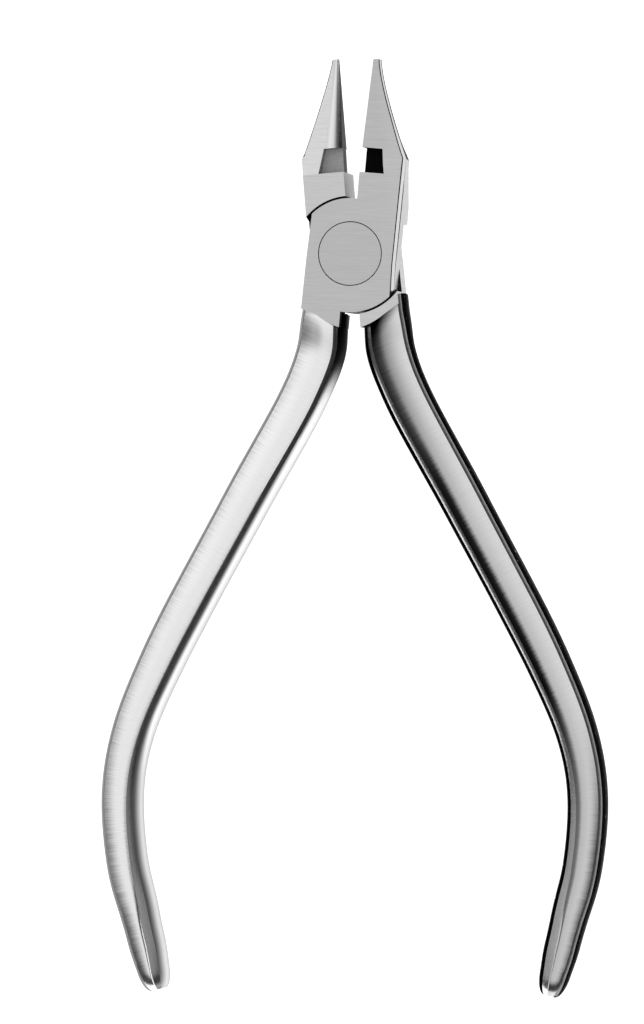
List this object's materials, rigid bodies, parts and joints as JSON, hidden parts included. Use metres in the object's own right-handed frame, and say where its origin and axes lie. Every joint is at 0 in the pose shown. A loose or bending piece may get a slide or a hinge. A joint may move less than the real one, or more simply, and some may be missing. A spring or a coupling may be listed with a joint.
{
  "type": "crimping pliers",
  "caption": "Slim lap-joint pliers with a round beak, a flat tapered beak, milled relief pockets and bowed steel handles turning on a flush screw.",
  "frame": {"origin": "on the pivot axis, at the flat rear face the tool lies on", "axes": "+Y along the tool towards the beaks, +Z along the pivot axis towards the front face, +X towards the flat beak"},
  "size_m": [0.0648, 0.1193, 0.008],
  "materials": {
    "ground_steel": "satin ground stainless steel with fine cross grain",
    "screw_steel": "screw end ground flush with the joint face"
  },
  "bodies": {
    "front_half": {"front_lever": "ground_steel"},
    "rear_half": {"rear_lever": "ground_steel", "pivot_screw": "screw_steel"}
  },
  "joints": [
    {"name": "pivot", "type": "hinge", "parent": "front_half", "child": "rear_half", "pos_m": [0, 0, 0.004], "axis": [0, 0, 1], "range_deg": [-9.5, 50]}
  ]
}
